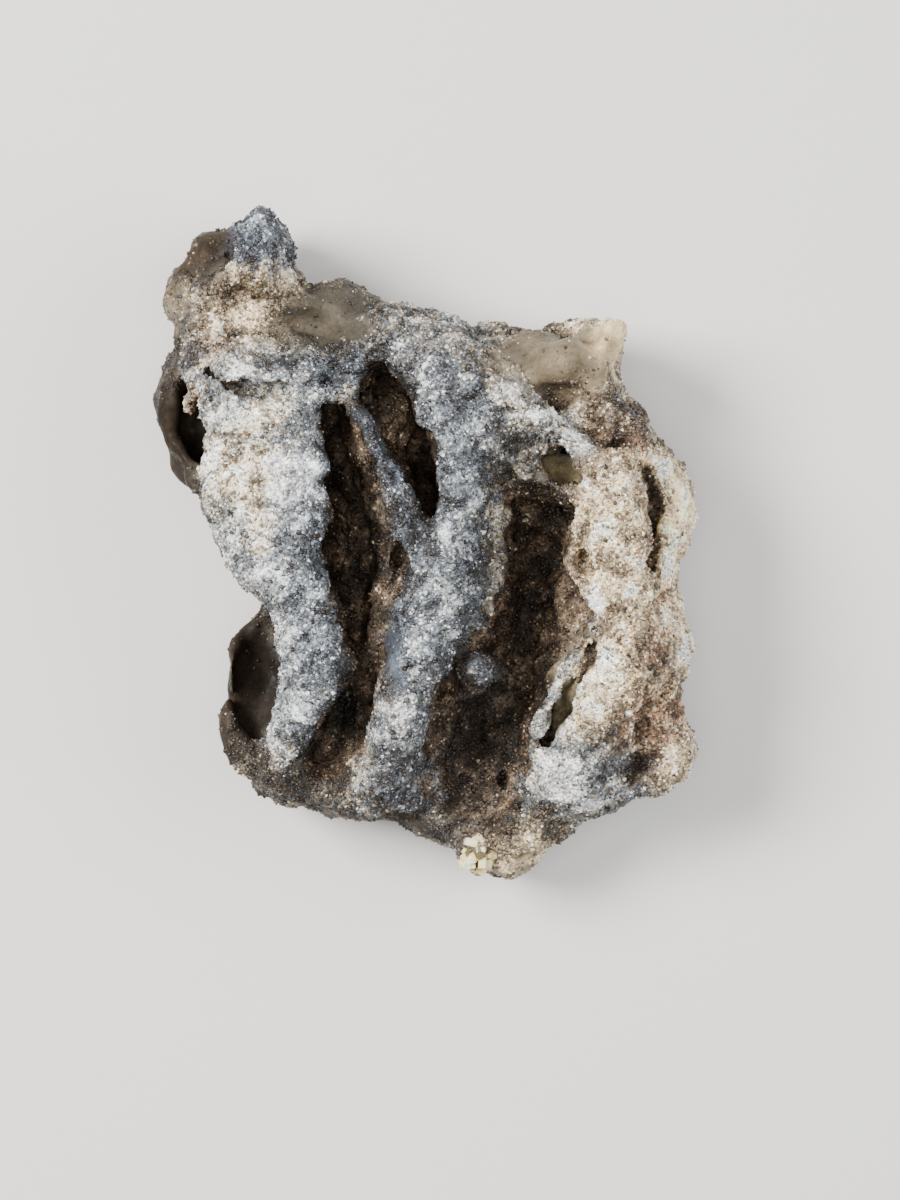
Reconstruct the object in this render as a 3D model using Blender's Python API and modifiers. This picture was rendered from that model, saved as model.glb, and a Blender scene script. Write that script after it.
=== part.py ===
"""Fulgurite: a hand-sized chunk of sand fused by lightning, three hollow tubes side by side.

The chunk lies on its back. Its ridged front faces up (+Z), its long side runs along Y, and the
origin is on the surface it rests on, under the middle of its outline. Metres.
"""

import random

import bpy
import bmesh
import numpy as np
from mathutils import Matrix, Vector

MM = 0.001

# Driving dimensions, in millimetres
CRUST_FLOOR = 2.0        # underside of the crust that joins the tubes
CRUST_TOP = 12.5
CRUST_EDGE = 3.2         # rounding of the crust's edge
FOOT = 6.0               # the height that every ridge grows from
BEAD_STEP = 0.8          # spacing of the beads along a route
LUMPINESS = 0.10         # how much the beads differ in size
FORM_VOXEL = 0.65        # grain of the rough form
SKIN_VOXEL = 0.55        # grain of the lumpy skin
SKIN_TRIANGLES = 9400
REST_DEPTH = 0.6         # how much of the lowest bumps is worn flat
CREST_ROUNDING = 0.8     # share of a ridge's half width that its round top takes
DEEPEST_ROUNDING = 3.0
SHAFT_FLARE = 1.2        # how much wider a shaft is at its top
POST_SIDES = 16
FORM_SMOOTHING = 3       # rounds of smoothing
HOLLOW_SMOOTHING = 2
SKIN_SMOOTHING = 2
BEAD_DETAIL = 2          # how finely beads and the crust's edge are rounded
EDGE_DETAIL = 3
CRUST_MERGE = 0.01       # corners of the crust closer than this are one
NAME = "fulgurite"

# The chunk's outline seen from the front: x, y
OUTLINE = (
    (-15.3, 30.8), (-13.4, 29.6), (-12.4, 27.0), (-11.9, 24.9), (-8.8, 23.0), (-5.6, 21.5),
    (-2.2, 21.9), (1.0, 21.2), (4.0, 20.6), (7.4, 19.2), (11.2, 20.0), (15.0, 20.7),
    (18.4, 20.6), (17.5, 16.6), (18.3, 12.8), (21.6, 9.2), (24.7, 5.6), (25.0, 2.0),
    (22.9, -2.2), (23.5, -5.0), (24.5, -8.2), (25.0, -10.1), (23.0, -11.6), (23.1, -15.8),
    (25.9, -19.4), (24.2, -22.6), (20.2, -23.8), (17.4, -25.6), (12.2, -27.0), (11.2, -29.4),
    (8.2, -31.5), (5.0, -31.4), (3.4, -27.9), (-0.8, -27.2), (-7.6, -26.0), (-13.6, -24.9),
    (-18.2, -21.8), (-19.4, -16.6), (-18.5, -13.6), (-19.8, -10.6), (-16.0, -8.0), (-14.4, -4.8),
    (-16.4, -3.2), (-19.8, -0.4), (-21.0, 4.2), (-23.2, 7.0), (-25.4, 11.4), (-25.3, 14.8),
    (-23.2, 16.6), (-23.0, 20.4), (-25.3, 22.8), (-23.6, 24.8), (-22.0, 26.6), (-22.6, 28.4),
    (-20.8, 29.4), (-17.6, 28.8),
)

# Backs of the three tubes: x, y, z, half width, half height
BACKS = (
    ((-17.0, 23.6, 7.5, 4.4, 6.0), (-17.0, 14.0, 7.0, 5.8, 7.2), (-15.4, 5.0, 6.8, 5.0, 7.4),
     (-11.4, -4.8, 7.0, 3.2, 7.2), (-13.0, -12.0, 7.0, 4.9, 7.2), (-12.4, -18.4, 7.0, 4.9, 6.8)),
    ((-0.5, 15.2, 7.0, 5.0, 6.4), (0.5, 8.0, 6.7, 6.0, 7.2), (1.0, -4.0, 6.7, 6.2, 7.2),
     (-1.5, -14.0, 6.6, 6.0, 7.2), (-2.4, -20.6, 7.0, 4.8, 6.4)),
    ((12.5, 14.8, 7.5, 4.6, 6.0), (15.8, 5.0, 7.0, 6.0, 7.2), (16.6, -5.0, 7.0, 5.4, 7.6),
     (16.0, -16.0, 7.0, 6.2, 7.4), (10.0, -23.2, 7.5, 3.6, 6.0)),
)

# Ridges on the front: x, y, height of the crest, half width at the crest, half width at the foot
RIDGES = {
    "left sheet": (
        (-17.8, 16.8, 19.6, 4.2, 4.4), (-17.0, 13.4, 21.6, 4.8, 5.0), (-15.4, 9.2, 23.4, 5.5, 5.8),
        (-14.8, 3.3, 24.4, 5.2, 5.5), (-13.8, -1.6, 24.0, 3.7, 4.0), (-11.5, -5.9, 23.2, 2.6, 2.9),
        (-10.6, -9.9, 22.8, 3.0, 3.6), (-10.2, -13.1, 22.0, 2.5, 3.0), (-12.3, -16.4, 20.4, 1.8, 2.4),
        (-13.0, -19.4, 18.4, 2.0, 2.4), (-13.6, -22.0, 15.6, 2.2, 2.4),
    ),
    "middle ridge": (
        (1.0, 17.0, 20.4, 3.6, 4.0), (0.2, 13.3, 22.8, 5.6, 6.0), (0.8, 6.8, 24.6, 4.4, 5.0),
        (0.6, 0.8, 25.6, 2.4, 3.6), (0.5, -3.4, 25.8, 2.3, 3.6), (0.0, -7.1, 25.4, 2.5, 3.6),
        (-1.0, -9.9, 25.0, 2.2, 3.3), (-1.8, -13.6, 24.0, 2.0, 3.1), (-2.6, -16.4, 23.0, 2.2, 3.1),
        (-3.5, -18.7, 21.6, 2.4, 3.3), (-4.6, -22.2, 18.0, 2.8, 3.4),
    ),
    "middle ridge's right flank": (
        (4.4, 13.0, 22.0, 2.4, 2.8), (3.8, 7.0, 22.2, 2.0, 2.4), (3.4, 0.8, 22.0, 2.0, 2.6),
        (3.2, -6.0, 21.6, 2.0, 2.6), (1.6, -9.5, 21.4, 1.5, 2.0), (-0.4, -13.0, 21.0, 1.2, 1.5),
        (-1.6, -18.0, 19.4, 1.1, 1.4), (-2.8, -22.6, 16.0, 1.5, 1.7),
    ),
    "right ridge": (
        (17.2, 5.0, 22.4, 2.6, 3.0), (16.8, 0.8, 23.4, 2.8, 3.4), (17.2, -3.0, 23.4, 2.6, 3.2),
        (18.4, -5.9, 23.2, 2.0, 2.8), (18.4, -7.8, 23.0, 2.2, 3.0), (17.4, -10.9, 23.2, 3.1, 4.0),
        (15.4, -14.8, 22.4, 3.6, 4.8), (13.8, -18.0, 20.4, 3.8, 5.2), (13.0, -21.2, 17.6, 3.8, 4.8),
        (11.6, -24.0, 14.6, 2.8, 3.2),
    ),
    "right ridge's outer flank": (
        (19.8, 2.0, 18.4, 2.2, 2.6), (20.2, -4.0, 18.6, 1.8, 2.2), (20.6, -9.0, 18.8, 1.6, 2.0),
        (20.2, -13.0, 18.2, 1.8, 2.2), (20.6, -18.0, 16.0, 2.6, 3.0), (20.4, -20.6, 14.0, 2.2, 2.6),
    ),
    "right rim": (
        (21.2, 7.0, 15.8, 1.2, 1.6), (22.8, 3.8, 16.2, 1.1, 1.5), (22.9, 0.4, 15.8, 1.0, 1.5),
        (21.4, -3.0, 15.4, 1.0, 1.5), (22.4, -7.4, 14.6, 1.0, 1.4), (21.8, -11.0, 14.4, 1.0, 1.3),
    ),
    "diagonal ridge": (
        (5.2, 13.8, 22.2, 1.6, 2.2), (7.8, 12.9, 22.4, 1.1, 1.8), (10.6, 11.0, 22.2, 1.0, 1.7),
        (13.2, 8.9, 22.2, 1.1, 1.8), (15.6, 6.6, 22.4, 1.6, 2.2),
    ),
    "lip under the oval window": (
        (9.6, 8.6, 18.6, 0.8, 1.2), (10.2, 6.0, 18.4, 0.8, 1.2), (12.6, 4.0, 19.2, 0.9, 1.2),
        (15.0, 3.2, 21.0, 1.0, 1.4),
    ),
    "arch over the left valley": (
        (-16.4, 15.8, 20.6, 2.4, 2.8), (-11.6, 16.0, 20.8, 1.5, 2.2), (-7.9, 15.9, 21.4, 1.4, 2.2),
        (-5.1, 16.8, 21.6, 1.5, 2.2), (-2.2, 18.0, 21.0, 1.9, 2.4),
    ),
    "ledge under the cup": (
        (-21.0, 17.0, 19.4, 1.0, 1.4), (-18.8, 15.6, 21.4, 1.1, 1.4), (-16.0, 14.8, 22.8, 1.1, 1.4),
        (-13.4, 14.2, 22.8, 1.0, 1.4),
    ),
    "lower rim": (
        (-16.4, -20.8, 12.6, 1.1, 1.4), (-12.8, -22.6, 14.4, 1.3, 1.8), (-8.0, -23.2, 14.8, 1.5, 2.0),
        (-3.4, -24.0, 15.0, 1.7, 2.2), (1.2, -24.8, 14.2, 1.6, 1.8),
    ),
    "lower right rim": (
        (12.4, -24.4, 13.8, 1.8, 2.0), (17.6, -22.6, 14.4, 2.0, 2.2), (22.4, -20.8, 14.6, 1.8, 2.0),
        (22.8, -18.4, 15.4, 1.4, 1.6),
    ),
    "upper left rim": (
        (-21.8, 17.6, 17.0, 1.0, 1.4), (-21.8, 20.6, 17.4, 1.1, 1.4), (-20.4, 23.2, 18.0, 1.3, 1.8),
        (-17.4, 24.2, 18.6, 1.6, 2.0), (-13.8, 22.8, 18.0, 1.3, 1.6), (-9.8, 21.2, 16.8, 1.0, 1.4),
        (-6.2, 20.0, 17.4, 1.0, 1.4), (-2.8, 20.0, 19.0, 1.3, 1.6),
    ),
    "upper window's edge": (
        (-22.8, 15.4, 11.8, 0.8, 1.2), (-23.8, 13.4, 11.0, 0.7, 1.2), (-23.8, 11.0, 10.8, 0.7, 1.2),
        (-22.6, 8.0, 11.0, 0.7, 1.2), (-20.8, 5.2, 12.0, 0.9, 1.2),
    ),
    "lower window's edge": (
        (-15.2, -7.6, 12.2, 0.8, 1.2), (-17.6, -10.4, 11.2, 0.8, 1.2), (-17.2, -13.2, 10.8, 0.8, 1.2),
        (-17.8, -16.4, 10.8, 0.8, 1.2), (-17.0, -19.8, 11.6, 0.9, 1.3),
    ),
}

# Rounded masses: x, y, z, half width, half length, half height
LOBES = {
    "cup floor": (-16.6, 20.2, 11.0, 5.2, 4.0, 5.8),
    "pinnacle root": (-15.6, 25.0, 14.0, 2.7, 2.2, 7.0),
    "pinnacle": (-15.2, 27.2, 15.0, 2.1, 2.4, 8.2),
    "pinnacle tip": (-15.3, 28.6, 15.0, 1.4, 1.9, 6.8),
    "knob behind the pinnacle": (-20.0, 27.0, 9.5, 2.2, 2.1, 4.0),
    "far left knob": (-22.8, 22.9, 10.5, 1.7, 1.8, 3.4),
    "glassy basin floor": (-8.6, 19.6, 11.0, 4.4, 3.4, 5.0),
    "glassy plateau": (12.6, 16.2, 14.0, 4.8, 3.3, 6.4),
    "glassy plateau's root": (14.8, 13.0, 13.0, 3.6, 3.6, 6.2),
    "corner knob": (16.9, 19.0, 14.0, 1.5, 1.6, 5.0),
    "shoulder under the plateau": (17.8, 9.2, 12.0, 3.0, 3.2, 7.2),
    "bridge above the right valley": (6.8, 14.6, 13.0, 4.2, 3.8, 7.4),
    "slope at the right valley's head": (8.4, 9.6, 12.0, 3.6, 4.8, 7.8),
    "plate on the right ridge": (17.9, 0.6, 16.0, 2.7, 6.0, 6.4),
    "lower tip": (8.0, -27.4, 10.0, 2.6, 3.2, 4.6),
    "crystal seat": (5.2, -28.6, 9.5, 1.5, 1.7, 3.4),
    "knob in the right valley": (4.6, -11.8, 15.0, 1.7, 1.6, 3.4),
    "spur on the right edge": (23.9, -10.1, 8.0, 1.0, 0.8, 1.0),
}

# Bores and hollows: x, y, z, half width, half height
HOLLOWS = {
    "left valley": (
        (-8.6, 11.4, 15.6, 2.2, 4.8), (-7.6, 7.4, 15.2, 2.3, 5.4), (-6.0, 3.0, 15.0, 2.8, 5.6),
        (-6.0, -3.0, 14.8, 2.9, 5.6), (-5.8, -7.0, 14.8, 2.3, 5.2), (-5.8, -11.0, 15.0, 1.5, 4.6),
        (-6.8, -14.0, 14.8, 1.9, 4.6), (-8.2, -17.6, 14.6, 2.0, 4.6), (-9.0, -20.6, 15.0, 1.6, 4.0),
    ),
    "right valley": (
        (9.8, 2.4, 15.6, 2.7, 5.2), (9.6, -1.0, 15.0, 3.5, 5.8), (9.4, -6.0, 14.8, 3.6, 6.0),
        (8.2, -11.0, 14.6, 2.9, 5.8), (5.4, -15.6, 14.4, 3.5, 5.6), (4.0, -20.6, 14.4, 3.1, 5.2),
        (3.2, -26.0, 14.8, 1.8, 4.2),
    ),
    "left bore": (
        (-21.0, 15.4, 11.4, 1.4, 2.2), (-20.4, 12.6, 11.6, 2.4, 3.2), (-18.8, 9.0, 11.8, 2.8, 3.8),
        (-16.2, 3.4, 12.0, 2.4, 4.2), (-13.6, -2.0, 12.0, 2.0, 4.0), (-12.6, -6.0, 11.8, 1.7, 3.8),
        (-13.2, -10.0, 11.6, 2.2, 4.0), (-14.0, -13.6, 11.4, 2.6, 4.0), (-14.8, -17.6, 11.2, 2.0, 3.2),
    ),
    "middle bore": (
        (-3.4, 13.8, 12.0, 1.9, 3.4), (-2.0, 10.0, 11.6, 2.2, 4.0), (0.0, 4.0, 11.4, 2.4, 4.2),
        (0.9, -3.0, 11.4, 2.1, 4.4), (-0.4, -10.0, 11.2, 2.2, 4.2), (-2.4, -17.0, 10.8, 2.2, 3.8),
        (-2.8, -23.0, 10.0, 2.4, 3.2), (-2.8, -29.0, 9.6, 2.6, 3.2),
    ),
    "right bore": (
        (13.0, 22.5, 10.0, 2.2, 2.8), (12.6, 16.0, 10.4, 2.2, 3.0), (12.8, 9.6, 11.4, 2.0, 3.8),
        (14.6, 5.0, 11.8, 2.2, 4.0), (16.4, -1.0, 12.0, 2.4, 4.4), (17.4, -8.0, 11.8, 2.4, 4.2),
        (15.2, -15.0, 11.2, 2.6, 4.0), (12.6, -20.0, 10.4, 2.2, 3.4),
    ),
}

# Openings in the front that run up out of a bore: x, y, z of the bottom, half width
SHAFTS = {
    "upper window": ((-22.6, 13.8, 8.0, 0.9), (-22.0, 11.2, 7.2, 2.0), (-21.6, 9.4, 7.2, 1.6),
                     (-21.2, 7.8, 8.0, 1.0)),
    "lower window": ((-15.6, -7.6, 9.0, 0.7), (-16.4, -9.8, 8.0, 1.5), (-15.6, -12.6, 7.0, 2.2),
                     (-16.2, -15.4, 7.0, 1.9), (-16.4, -18.2, 8.0, 1.4)),
    "long slot": ((-4.4, 14.6, 10.0, 1.3), (-3.2, 12.4, 10.0, 2.0), (-1.8, 9.0, 10.0, 1.7),
                  (-0.5, 5.6, 10.0, 1.4), (0.5, 2.8, 10.0, 1.1)),
    "oval window": ((11.7, 7.3, 10.0, 1.2), (13.5, 6.0, 10.0, 1.2)),
    "lower slit": ((15.2, -9.4, 12.0, 0.7), (13.6, -12.6, 12.0, 0.9), (12.2, -15.6, 12.0, 1.0),
                   (11.0, -18.4, 12.0, 0.7)),
}
SHAFT_TOP = 29.0

# Dimples pressed into the surface: x, y, z, half width, half length, half height
DIMPLES = {
    "cup": (-17.0, 20.2, 20.4, 3.6, 3.0, 4.6),
    "glassy basin": (-8.6, 20.2, 19.2, 3.6, 2.8, 3.8),
    "notch at the sheet's top": (-16.0, 15.2, 21.8, 1.6, 0.9, 2.6),
    "pocket in the left edge": (-21.7, 20.9, 18.0, 1.0, 1.2, 2.6),
    "crystal pocket": (18.2, 8.3, 18.8, 1.7, 1.2, 2.0),
    "pit by the slot": (3.9, 13.1, 22.6, 0.8, 0.7, 1.8),
    "pit in the right valley": (9.6, -3.6, 11.2, 1.0, 1.3, 1.8),
    "dark patch": (18.0, -20.6, 18.6, 2.8, 2.0, 3.2),
    "waist behind the right rim": (21.4, 1.0, 18.8, 0.9, 4.6, 3.4),
}

LUMPS = (
    # name, size of the lumps, how far they stand out
    ("boulders", 6.0, 1.1),
    ("pebbles", 2.4, 0.85),
)


def smooth_route(stations, step):
    """Rows spaced about `step` apart on a Catmull-Rom curve through the stations."""
    rows = np.array(stations, float)
    ends = np.vstack([2 * rows[0] - rows[1], rows, 2 * rows[-1] - rows[-2]])
    route = []
    for a, b, c, d in zip(ends, ends[1:], ends[2:], ends[3:]):
        count = max(2, int(np.linalg.norm((c - b)[:2]) / step))
        for t in np.arange(count) / count:
            route.append(
                0.5 * (2 * b + (c - a) * t + (2 * a - 5 * b + 4 * c - d) * t**2
                       + (3 * b - a - 3 * c + d) * t**3)
            )
    return route + [rows[-1]]


def add_lobe(bm, x, y, z, half_x, half_y, half_z):
    """An ellipsoid, in millimetres."""
    place = Matrix.Translation(Vector((x, y, z)) * MM)
    size = Matrix.Diagonal((half_x * MM, half_y * MM, half_z * MM, 1.0))
    bmesh.ops.create_icosphere(bm, subdivisions=BEAD_DETAIL, radius=1.0, matrix=place @ size)


def add_post(bm, x, y, low, high, low_radius, high_radius):
    """A tapered post from one height to another."""
    place = Matrix.Translation(Vector((x, y, (low + high) / 2)) * MM)
    bmesh.ops.create_cone(
        bm, cap_ends=True, segments=POST_SIDES, radius1=low_radius * MM, radius2=high_radius * MM,
        depth=(high - low) * MM, matrix=place,
    )


def add_tube(bm, stations, lumps):
    """A row of beads that run together into a tube of changing width and height."""
    for x, y, z, half_width, half_height in smooth_route(stations, BEAD_STEP):
        swell = 1 + lumps.uniform(-LUMPINESS, LUMPINESS)
        add_lobe(bm, x, y, z, half_width * swell, half_width * swell, half_height)


def add_ridge(bm, stations, lumps):
    """A row of round-topped posts: a ridge with steep sides that splays at its foot."""
    for x, y, crest, half_width, foot in smooth_route(stations, BEAD_STEP):
        radius = half_width * (1 + lumps.uniform(-LUMPINESS, LUMPINESS))
        shoulder = crest - min(CREST_ROUNDING * radius, DEEPEST_ROUNDING)
        add_post(bm, x, y, FOOT, shoulder, foot, radius)
        add_lobe(bm, x, y, shoulder, radius, radius, crest - shoulder)


def add_shaft(bm, stations):
    """A row of posts that open a bore to the front, a little wider at the top."""
    for x, y, bottom, half_width in smooth_route(stations, BEAD_STEP / 2):
        add_post(bm, x, y, bottom, SHAFT_TOP, half_width, half_width * SHAFT_FLARE)


def new_object(name, data, collection):
    thing = bpy.data.objects.new(name, data)
    collection.objects.link(thing)
    return thing


def mesh_object(name, bm, collection):
    mesh = bpy.data.meshes.new(name)
    bm.to_mesh(mesh)
    bm.free()
    return new_object(name, mesh, collection)


def add_crust(bm):
    """The flat crust between the tubes: the outline as a filled curve, turned into a mesh."""
    curve = bpy.data.curves.new("crust", "CURVE")
    curve.dimensions = "2D"
    curve.fill_mode = "BOTH"
    curve.extrude = ((CRUST_TOP - CRUST_FLOOR) / 2 - CRUST_EDGE) * MM
    curve.bevel_depth = CRUST_EDGE * MM
    curve.bevel_resolution = EDGE_DETAIL
    curve.offset = -CRUST_EDGE * MM
    spline = curve.splines.new("NURBS")
    spline.points.add(len(OUTLINE) - 1)
    for point, (x, y) in zip(spline.points, OUTLINE):
        point.co = (x * MM, y * MM, 0.0, 1.0)
    spline.use_cyclic_u = True
    spline.order_u = 3
    outline = new_object("crust", curve, bpy.context.scene.collection)
    outline.location.z = (CRUST_TOP + CRUST_FLOOR) / 2 * MM
    bpy.context.view_layer.update()
    mesh = bpy.data.meshes.new_from_object(outline.evaluated_get(bpy.context.evaluated_depsgraph_get()))
    mesh.transform(outline.matrix_world)
    bm.from_mesh(mesh)
    bmesh.ops.remove_doubles(bm, verts=bm.verts, dist=CRUST_MERGE * MM)
    bpy.data.objects.remove(outline)
    bpy.data.meshes.remove(mesh)


def voxel_remesh(thing, voxel):
    remesh = thing.modifiers.new("fuse", "REMESH")
    remesh.mode = "VOXEL"
    remesh.voxel_size = voxel * MM
    remesh.adaptivity = 0.0


def soften(thing, repeats):
    smooth = thing.modifiers.new("soften", "SMOOTH")
    smooth.factor = 0.5
    smooth.iterations = repeats


def cut(thing, cutter, name):
    boolean = thing.modifiers.new(name, "BOOLEAN")
    boolean.operation = "DIFFERENCE"
    boolean.solver = "EXACT"
    boolean.object = cutter
    cutter.hide_render = True
    cutter.display_type = "WIRE"


def roughen(thing):
    for name, size, height in LUMPS:
        texture = bpy.data.textures.new(name, "CLOUDS")
        texture.noise_scale = size * MM
        texture.noise_depth = 1
        displace = thing.modifiers.new(name, "DISPLACE")
        displace.texture = texture
        displace.texture_coords = "LOCAL"
        displace.strength = 2 * height * MM
        displace.mid_level = 0.5


def fused_sand():
    material = bpy.data.materials.new("fused sand")
    material.use_nodes = True
    shader = material.node_tree.nodes["Principled BSDF"]
    shader.inputs["Base Color"].default_value = (0.36, 0.33, 0.29, 1.0)
    shader.inputs["Roughness"].default_value = 0.75
    shader.inputs["Metallic"].default_value = 0.0
    return material


def make_form(collection):
    """The solid form: crust, backs of the tubes, ridges and lobes, fused into one skin."""
    lumps = random.Random(11)
    bm = bmesh.new()
    add_crust(bm)
    for stations in BACKS:
        add_tube(bm, stations, lumps)
    for stations in RIDGES.values():
        add_ridge(bm, stations, lumps)
    for lobe in LOBES.values():
        add_lobe(bm, *lobe)
    form = mesh_object(NAME, bm, collection)
    voxel_remesh(form, FORM_VOXEL)
    soften(form, FORM_SMOOTHING)
    return form


def make_hollows(collection):
    """Everything that is empty: bores, the windows and slots into them, and dimples."""
    lumps = random.Random(23)
    bm = bmesh.new()
    for stations in HOLLOWS.values():
        add_tube(bm, stations, lumps)
    for stations in SHAFTS.values():
        add_shaft(bm, stations)
    for dimple in DIMPLES.values():
        add_lobe(bm, *dimple)
    hollows = mesh_object("hollows", bm, collection)
    voxel_remesh(hollows, SKIN_VOXEL)
    soften(hollows, HOLLOW_SMOOTHING)
    return hollows


def freeze(thing):
    """The shape that the modifiers make becomes the object's own mesh."""
    bpy.context.view_layer.update()
    evaluated = thing.evaluated_get(bpy.context.evaluated_depsgraph_get())
    mesh = bpy.data.meshes.new_from_object(evaluated)
    thing.modifiers.clear()
    thing.data = mesh


def keep_largest(thing):
    """Crumbs that the cutting left loose are dropped."""
    bm = bmesh.new()
    bm.from_mesh(thing.data)
    unseen = set(bm.verts)
    pieces = []
    while unseen:
        piece = {unseen.pop()}
        edge = set(piece)
        while edge:
            edge = {e.other_vert(v) for v in edge for e in v.link_edges} - piece
            piece |= edge
        unseen -= piece
        pieces.append(piece)
    pieces.sort(key=len)
    crumbs = [v for piece in pieces[:-1] for v in piece]
    bmesh.ops.delete(bm, geom=crumbs, context="VERTS")
    bm.to_mesh(thing.data)
    bm.free()


def thin_out(thing, triangles):
    """Fewer, larger facets, about as many as `triangles`."""
    decimate = thing.modifiers.new("facets", "DECIMATE")
    decimate.ratio = triangles / (2 * len(thing.data.polygons))
    decimate.use_collapse_triangulate = True


def wear_flat(thing):
    """The lowest bumps are cut off level, so that the chunk rests on them."""
    bm = bmesh.new()
    bm.from_mesh(thing.data)
    lowest = min(v.co.z for v in bm.verts)
    everything = bm.verts[:] + bm.edges[:] + bm.faces[:]
    level = Vector((0.0, 0.0, lowest + REST_DEPTH * MM))
    cut_edges = bmesh.ops.bisect_plane(
        bm, geom=everything, plane_co=level, plane_no=(0, 0, 1), clear_inner=True,
        dist=0.001 * MM,
    )["geom_cut"]
    rings = [e for e in cut_edges if isinstance(e, bmesh.types.BMEdge)]
    bmesh.ops.holes_fill(bm, edges=rings)
    bmesh.ops.triangulate(bm, faces=bm.faces)
    bm.to_mesh(thing.data)
    bm.free()


def set_on_origin(thing):
    """The middle of the outline and the resting plane go to the origin."""
    corners = np.array([v.co for v in thing.data.vertices])
    low, high = corners.min(axis=0), corners.max(axis=0)
    middle = Vector(((low[0] + high[0]) / 2, (low[1] + high[1]) / 2, low[2]))
    thing.data.transform(Matrix.Translation(-middle))


def build():
    for thing in list(bpy.data.objects):
        bpy.data.objects.remove(thing)
    scene = bpy.context.scene
    parts = bpy.data.collections.new(NAME)
    cutters = bpy.data.collections.new("cutters")
    scene.collection.children.link(parts)
    scene.collection.children.link(cutters)

    chunk = make_form(parts)
    cut(chunk, make_hollows(cutters), "hollow out")
    roughen(chunk)
    voxel_remesh(chunk, SKIN_VOXEL)
    soften(chunk, SKIN_SMOOTHING)
    freeze(chunk)
    keep_largest(chunk)
    thin_out(chunk, SKIN_TRIANGLES)
    freeze(chunk)
    wear_flat(chunk)
    set_on_origin(chunk)
    chunk.data.materials.append(fused_sand())


build()
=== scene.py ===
# %% [markdown]
# # A fulgurite: sand fused by lightning
# A fulgurite is the glass that a lightning bolt leaves behind in dry sand. This one is a chunk of
# three tubes that melted together side by side. Its front shows their walls as three wavy ridges,
# with stained valleys between them and hollow bores inside.
#
# The plan: start from the solid that the frame holds and melt thin crests onto it, cut the slits
# and pits, press in the lumps, work out where it is hollow, sandy or glassy, and let one material
# read that. Then thousands of separate sand grains are fused onto it, and a few crystals at its
# lower tip. All lengths in the tables are millimetres, from the middle of the chunk's underside.

# %% Load the frame
import math
import random

import bmesh
import bpy
import numpy as np
from mathutils import Matrix, Vector, noise
from mathutils.bvhtree import BVHTree


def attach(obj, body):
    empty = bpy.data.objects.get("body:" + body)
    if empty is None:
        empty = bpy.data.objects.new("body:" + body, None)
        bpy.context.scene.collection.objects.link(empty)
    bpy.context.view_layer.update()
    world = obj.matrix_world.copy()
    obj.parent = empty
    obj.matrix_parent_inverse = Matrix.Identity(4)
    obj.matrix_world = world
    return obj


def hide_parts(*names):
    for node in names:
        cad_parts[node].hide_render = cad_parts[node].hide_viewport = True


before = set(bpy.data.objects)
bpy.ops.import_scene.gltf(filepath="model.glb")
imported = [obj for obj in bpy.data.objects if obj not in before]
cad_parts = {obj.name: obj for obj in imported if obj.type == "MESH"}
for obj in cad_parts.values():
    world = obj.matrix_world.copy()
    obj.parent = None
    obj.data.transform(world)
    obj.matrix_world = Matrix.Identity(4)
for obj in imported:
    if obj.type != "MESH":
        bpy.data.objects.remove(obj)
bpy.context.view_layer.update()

MM = 0.001

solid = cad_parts["fulgurite"]

# %% [markdown]
# ## The studio
# The chunk lies on its back, so the camera looks straight down on it. A long lens from half a
# metre keeps the ridges from leaning outwards, as a short one would make them do. The floor is
# plain and pale, and belongs to the studio, not to the object.

# %% Camera and floor
CAMERA_HEIGHT = 0.514
VIEW_CENTRE = (2.3 * MM, -5.3 * MM)
HALFWAY_UP = 14 * MM
VIEW_LENGTH = 111.4 * MM    # what the long side of the view spans, halfway up the chunk
SENSOR = 36.0

camera_data = bpy.data.cameras.new("camera")
camera_data.sensor_width = SENSOR
camera_data.lens = SENSOR * (CAMERA_HEIGHT - HALFWAY_UP) / VIEW_LENGTH
camera = bpy.data.objects.new("camera", camera_data)
camera.location = (*VIEW_CENTRE, CAMERA_HEIGHT)
bpy.context.scene.collection.objects.link(camera)
bpy.context.scene.camera = camera


def new_piece(name, bm):
    """A mesh object at the origin, made from a bmesh."""
    mesh = bpy.data.meshes.new(name)
    bm.to_mesh(mesh)
    bm.free()
    piece = bpy.data.objects.new(name, mesh)
    bpy.context.scene.collection.objects.link(piece)
    return piece


def plain_material(name, colour, roughness, **inputs):
    """A Principled material with constant values."""
    material = bpy.data.materials.new(name)
    material.use_nodes = True
    shader = material.node_tree.nodes["Principled BSDF"]
    shader.inputs["Base Color"].default_value = (*colour, 1.0)
    shader.inputs["Roughness"].default_value = roughness
    for socket, value in inputs.items():
        shader.inputs[socket.replace("_", " ")].default_value = value
    return material


FLOOR_HALF = 1.5

bm = bmesh.new()
bmesh.ops.create_grid(bm, x_segments=1, y_segments=1, size=FLOOR_HALF)
floor = new_piece("floor", bm)
floor.data.materials.append(plain_material("pale floor", (0.72, 0.71, 0.69), 0.9))

# %% [markdown]
# Hollows are what make a fulgurite read as one, and only a light that comes mainly from one side
# shows them. So a soft key light hangs on the left and a weak one fills from the right. A third,
# overhead, reaches straight down into the valleys, just enough to show their brown floors.

# %% Lights
def soft_light(name, place, size, power, colour):
    """A square lamp of `size` metres that faces the chunk."""
    lamp = bpy.data.lights.new(name, "AREA")
    lamp.size = size
    lamp.energy = power
    lamp.color = colour
    holder = bpy.data.objects.new(name, lamp)
    holder.location = place
    holder.rotation_euler = Vector(place).to_track_quat("Z", "Y").to_euler()
    bpy.context.scene.collection.objects.link(holder)


soft_light("key", (-0.32, 0.12, 0.44), 0.22, 6.9, (1.0, 0.98, 0.95))
soft_light("fill", (0.42, 0.05, 0.36), 0.40, 2.8, (0.95, 0.97, 1.0))
soft_light("overhead", (0.0, -0.04, 0.52), 0.24, 1.2, (1.0, 0.98, 0.96))

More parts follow.
